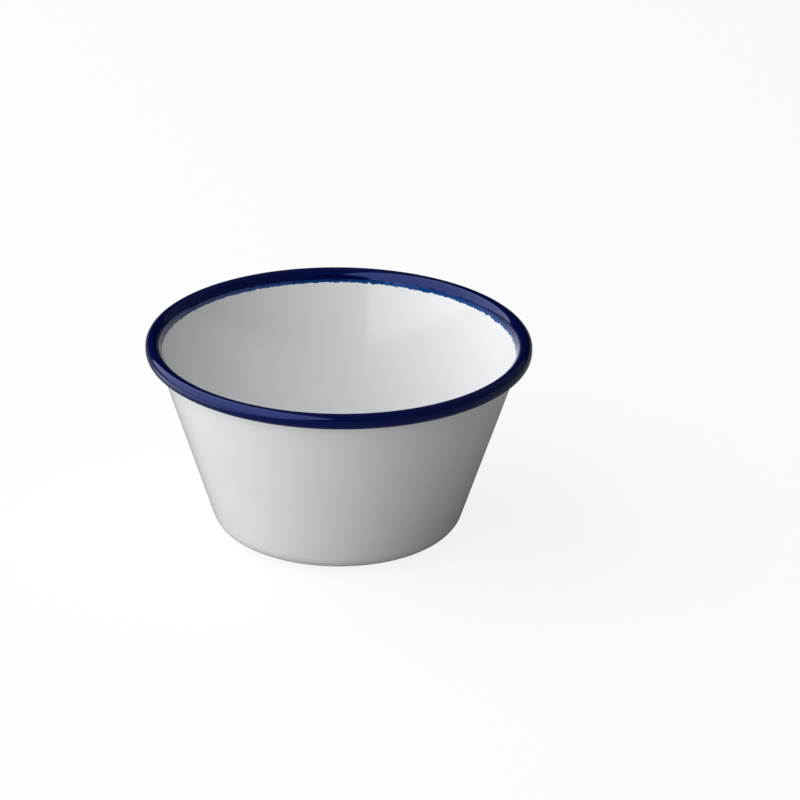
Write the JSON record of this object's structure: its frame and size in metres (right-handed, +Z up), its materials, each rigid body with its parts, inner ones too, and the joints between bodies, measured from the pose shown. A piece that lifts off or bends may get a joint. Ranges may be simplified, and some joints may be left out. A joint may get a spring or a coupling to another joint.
{
  "type": "bowl",
  "caption": "Small tapered bowl with a straight leaning wall, a rounded base on a low foot ring and a rolled, colour-coated rim, for food or small things.",
  "frame": {"origin": "on the table, under the middle of the bowl", "axes": "+Z up along the bowl's axis, +X and +Y across the rim"},
  "size_m": [0.125, 0.125, 0.0655],
  "materials": {
    "white_moulding": "smooth high-gloss white, enamel look",
    "blue_coat": "glossy navy coat, thinning to cobalt at its brushed inner edge"
  },
  "bodies": {
    "root": {"bowl_body": "white_moulding", "rim_coat": "blue_coat"}
  },
  "joints": []
}
